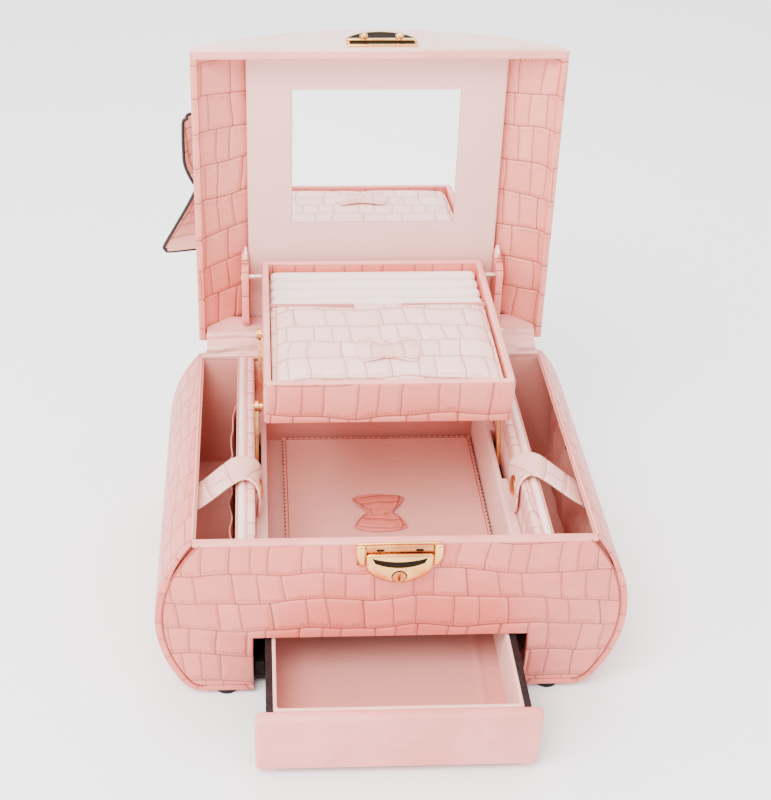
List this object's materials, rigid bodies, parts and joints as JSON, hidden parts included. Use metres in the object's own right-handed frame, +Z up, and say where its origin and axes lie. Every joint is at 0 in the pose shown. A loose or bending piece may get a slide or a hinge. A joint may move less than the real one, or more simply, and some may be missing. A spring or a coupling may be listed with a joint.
{
  "type": "jewellery chest with drawer",
  "caption": "Barrel-shaped padded jewellery chest with a vaulted mirror lid, a lift-out tray raised by the lid on gold links, and a full-width drawer.",
  "frame": {"origin": "on the table, under the middle of the body", "axes": "+X to the right seen from the front, +Y to the back, +Z up; the chest is stored open, with its drawer pulled part way out"},
  "size_m": [0.2324, 0.2737, 0.2755],
  "materials": {
    "croc_leather": "embossed, glossy",
    "smooth_leather": "smooth, satin",
    "suede_board": "pale suede over board",
    "dark_velvet": "velvet",
    "pale_velvet": "velvet",
    "satin": "satin",
    "gold": "polished gold plating",
    "steel": "bright",
    "dark_board": "dark paper-covered board",
    "black_rubber": "matt",
    "silvered_glass": "silvered glass"
  },
  "bodies": {
    "chest": {"left_side": "croc_leather", "right_side": "croc_leather", "base_board": "dark_board", "front_panel": "croc_leather", "rear_panel": "croc_leather", "feet": "black_rubber", "left_partition": "suede_board", "right_partition": "suede_board", "left_ledge": "suede_board", "right_ledge": "suede_board", "bay_roof": "dark_board", "drawer_rails": "dark_board", "left_liner": "dark_velvet", "right_liner": "dark_velvet", "left_pocket": "dark_velvet", "right_pocket": "dark_velvet", "link_posts": "gold", "post_pins": "gold", "snap_sockets": "gold", "strap_bridges": "croc_leather", "lock_plate": "gold", "lock_case": "gold", "body_hinge_leaves": "gold", "hinge_pins": "gold", "hinge_lining": "satin"},
    "lid": {"lid_vault": "croc_leather", "lid_front": "smooth_leather", "lid_rear": "smooth_leather", "lid_hinge_leaves": "gold", "mirror_board": "suede_board", "mirror_glass": "silvered_glass", "cheeks": "croc_leather", "lift_pins": "steel", "lid_catch": "gold", "catch_studs": "gold", "lid_bow": "croc_leather", "bow_knot": "croc_leather"},
    "tray": {"tray_box": "croc_leather", "ring_rolls": "pale_velvet", "tray_floor": "dark_velvet", "link_rivets": "gold"},
    "cover": {"tray_cover": "croc_leather", "cover_bow": "croc_leather", "cover_hinge": "satin"},
    "link_left": {"left_link": "gold"},
    "link_right": {"right_link": "gold"},
    "drawer": {"drawer_front": "smooth_leather", "drawer_box": "dark_board", "drawer_bottom": "dark_board", "drawer_pad": "pale_velvet"},
    "mat": {"floor_mat": "suede_board", "mat_bow": "croc_leather"},
    "strap_left": {"left_strap": "croc_leather", "left_snap": "gold"},
    "strap_right": {"right_strap": "croc_leather", "right_snap": "gold"},
    "key_barrel": {"lock_cylinder": "gold"}
  },
  "joints": [
    {"name": "lid_hinge", "type": "hinge", "parent": "chest", "child": "lid", "pos_m": [0, 0.0873, 0.1015], "axis": [-1, 0, 0], "range_deg": [-94, 0]},
    {"name": "tray_level", "type": "hinge", "parent": "lid", "child": "tray", "pos_m": [0, 0.09387, 0.14298], "axis": [-1, 0, 0], "range_deg": [0, 94]},
    {"name": "link_left_turn", "type": "hinge", "parent": "chest", "child": "link_left", "pos_m": [-0.063, 0.03193, 0.09802], "axis": [-1, 0, 0], "range_deg": [-94, 0]},
    {"name": "link_right_turn", "type": "hinge", "parent": "chest", "child": "link_right", "pos_m": [0.063, 0.03193, 0.09802], "axis": [-1, 0, 0], "range_deg": [-94, 0]},
    {"name": "drawer_slide", "type": "slide", "parent": "chest", "child": "drawer", "axis": [0, -1, 0], "range_m": [-0.0533, 0.055]},
    {"name": "mat_lift", "type": "slide", "parent": "chest", "child": "mat", "axis": [0, 0, 1], "range_m": [0, 0.045]},
    {"name": "strap_left_turn", "type": "hinge", "parent": "chest", "child": "strap_left", "pos_m": [-0.066, -0.031, 0.10065], "axis": [0, -1, 0], "range_deg": [0, 110]},
    {"name": "strap_right_turn", "type": "hinge", "parent": "chest", "child": "strap_right", "pos_m": [0.066, -0.031, 0.10065], "axis": [0, 1, 0], "range_deg": [0, 110]},
    {"name": "cover_turn", "type": "hinge", "parent": "tray", "child": "cover", "pos_m": [0, 0.0558, 0.1462], "axis": [-1, 0, 0], "range_deg": [0, 88]},
    {"name": "key_turn", "type": "hinge", "parent": "chest", "child": "key_barrel", "pos_m": [0.0015, -0.086, 0.0827], "axis": [0, 1, 0], "range_deg": [0, 90]}
  ],
  "couplings": [
    {"joint": "tray_level", "follows": "lid_hinge", "ratio": -1},
    {"joint": "link_left_turn", "follows": "lid_hinge", "ratio": 1},
    {"joint": "link_right_turn", "follows": "lid_hinge", "ratio": 1}
  ]
}
